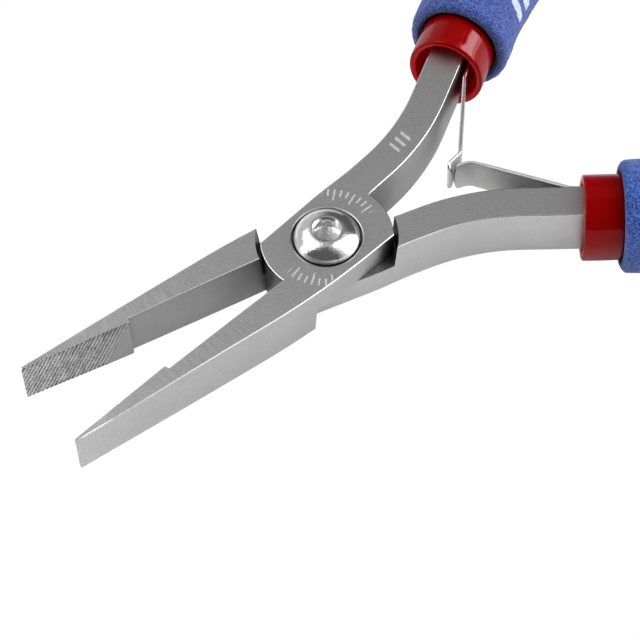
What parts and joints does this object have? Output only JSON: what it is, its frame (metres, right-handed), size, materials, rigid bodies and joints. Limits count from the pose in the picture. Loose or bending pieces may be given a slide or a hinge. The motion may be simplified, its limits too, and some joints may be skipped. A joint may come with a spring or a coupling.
{
  "type": "flat nose pliers",
  "caption": "Flat nose pliers with a lap joint, button-head pivot screw, hooked return leaves, vinyl sleeves and foam grips.",
  "frame": {"origin": "on the pivot axis, level with the flat underside of the joint", "axes": "jaws point along -X and handles along +X, +Y is towards the handle of the upper half, +Z is the pivot axis on the side of the screw head"},
  "size_m": [0.1262, 0.0862, 0.0145],
  "materials": {
    "satin_steel": "satin, bead blasted with fine grinding lines on the jaws",
    "bright_screw": "polished",
    "spring_steel": "rolled bright",
    "red_vinyl": "gloss",
    "blue_foam": "matt, fine granular foam skin",
    "rivet_steel": "plain"
  },
  "bodies": {
    "upper": {"upper_half": "satin_steel", "red_sleeve_upper": "red_vinyl", "foam_grip_upper": "blue_foam", "leaf_rivet_upper_front": "rivet_steel", "leaf_rivet_upper_rear": "rivet_steel"},
    "lower": {"lower_half": "satin_steel", "pivot_screw": "bright_screw", "red_sleeve_lower": "red_vinyl", "foam_grip_lower": "blue_foam", "leaf_rivet_lower_front": "rivet_steel", "leaf_rivet_lower_rear": "rivet_steel"},
    "spring_upper": {"leaf_spring_upper": "spring_steel"},
    "spring_lower": {"leaf_spring_lower": "spring_steel"}
  },
  "joints": [
    {"name": "pivot", "type": "hinge", "parent": "upper", "child": "lower", "pos_m": [0, 0, 0.00317], "axis": [0, 0, 1], "range_deg": [-3, 16.7], "stiffness_Nm_per_rad": 0.6},
    {"name": "upper_leaf_flex", "type": "hinge", "parent": "upper", "child": "spring_upper", "pos_m": [0.02742, 0.01104, 0.00317], "axis": [0, 0, 1], "range_deg": [-11.6, 2.1], "deforming": ["leaf_spring_upper"]},
    {"name": "lower_leaf_flex", "type": "hinge", "parent": "lower", "child": "spring_lower", "pos_m": [0.02742, -0.01104, 0.00317], "axis": [0, 0, 1], "range_deg": [-2.1, 11.4], "deforming": ["leaf_spring_lower"]}
  ],
  "couplings": [
    {"joint": "upper_leaf_flex", "follows": "pivot", "ratio": -0.69},
    {"joint": "lower_leaf_flex", "follows": "pivot", "ratio": 0.68}
  ]
}
